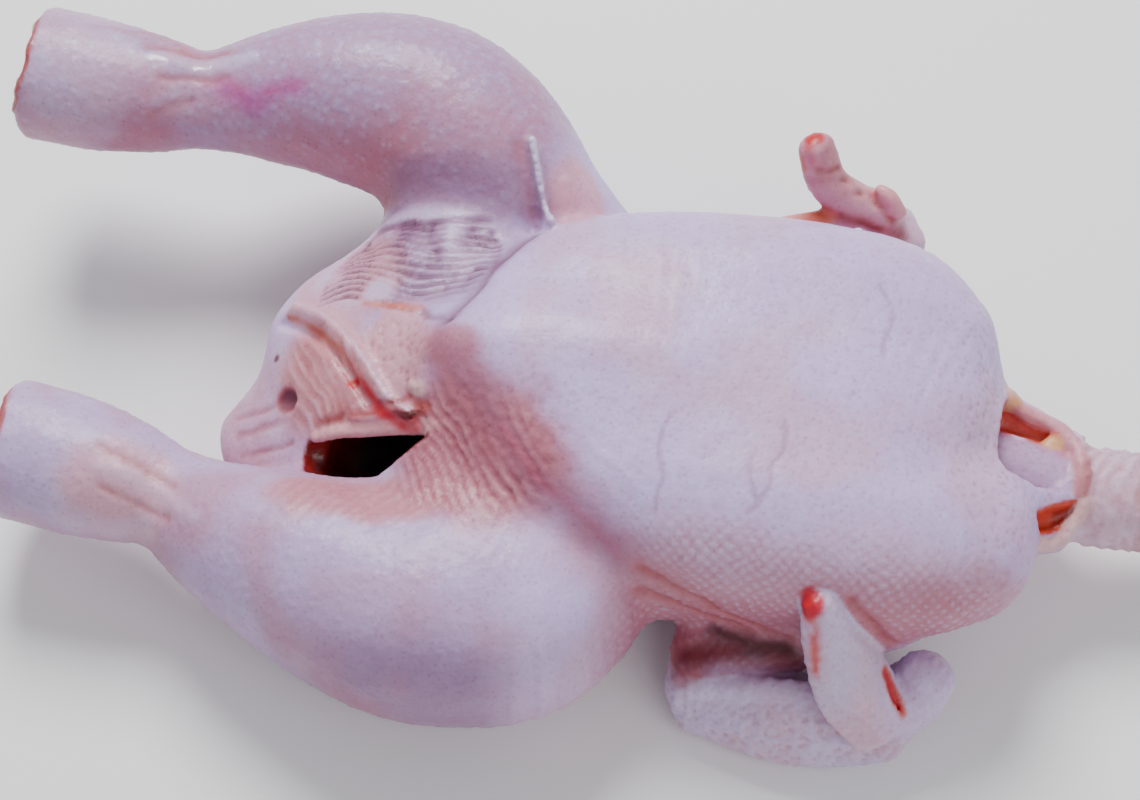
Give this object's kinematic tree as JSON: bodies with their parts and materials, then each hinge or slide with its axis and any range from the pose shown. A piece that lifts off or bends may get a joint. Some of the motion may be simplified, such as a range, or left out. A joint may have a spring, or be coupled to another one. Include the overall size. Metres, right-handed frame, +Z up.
{
  "type": "raw chicken",
  "caption": "Whole raw chicken, plucked and drawn, lying on its back with its legs stretched out, its wings folded and its neck left on, with the body cavity open at the vent",
  "frame": {"origin": "middle of the flat patch of the back that the bird rests on", "axes": "+X along the body to the cut neck, -X to the tail and legs, +Y to the bird's right side, +Z up through the breast"},
  "size_m": [0.351, 0.2159, 0.0822],
  "materials": {
    "skin": "moist, pale lavender-pink poultry skin"
  },
  "bodies": {
    "root": {"chicken": "skin"}
  },
  "joints": []
}
